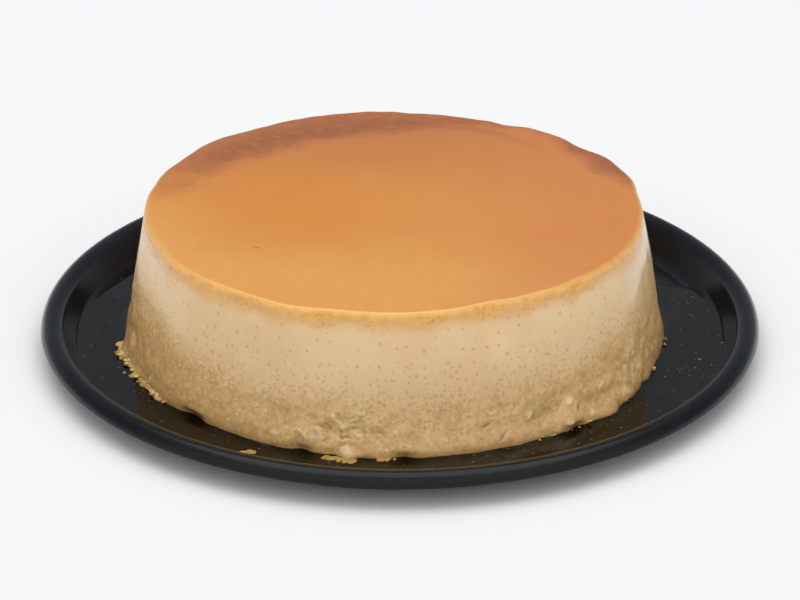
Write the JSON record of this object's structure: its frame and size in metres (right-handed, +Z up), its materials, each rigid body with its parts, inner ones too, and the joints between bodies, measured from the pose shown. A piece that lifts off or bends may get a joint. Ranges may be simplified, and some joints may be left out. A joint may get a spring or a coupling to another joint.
{
  "type": "flan cake",
  "caption": "Round caramel flan with a smooth amber top and craggy foot, turned out in its syrup on a round black rimmed plate.",
  "frame": {"origin": "centre of the plate's flat underside", "axes": "+Z up through the plate's middle, -Y towards the side that faces the viewer, +X to the viewer's right"},
  "size_m": [0.3, 0.3, 0.0604],
  "materials": {
    "plate": "black moulded plastic, satin, with fine scuffs on the rim",
    "syrup": "thin dark caramel syrup, wet and mirror smooth, clear over the black plate",
    "custard": "baked custard, moist and softly glossy, cream above and tan and craggy towards the foot, with fine pinholes",
    "caramel": "caramel soaked custard, amber and smooth, moist satin gloss, darker in bands at the back edge"
  },
  "bodies": {
    "root": {"plate": "plate", "syrup": "syrup", "custard": "custard", "caramel_top": "caramel"}
  },
  "joints": []
}
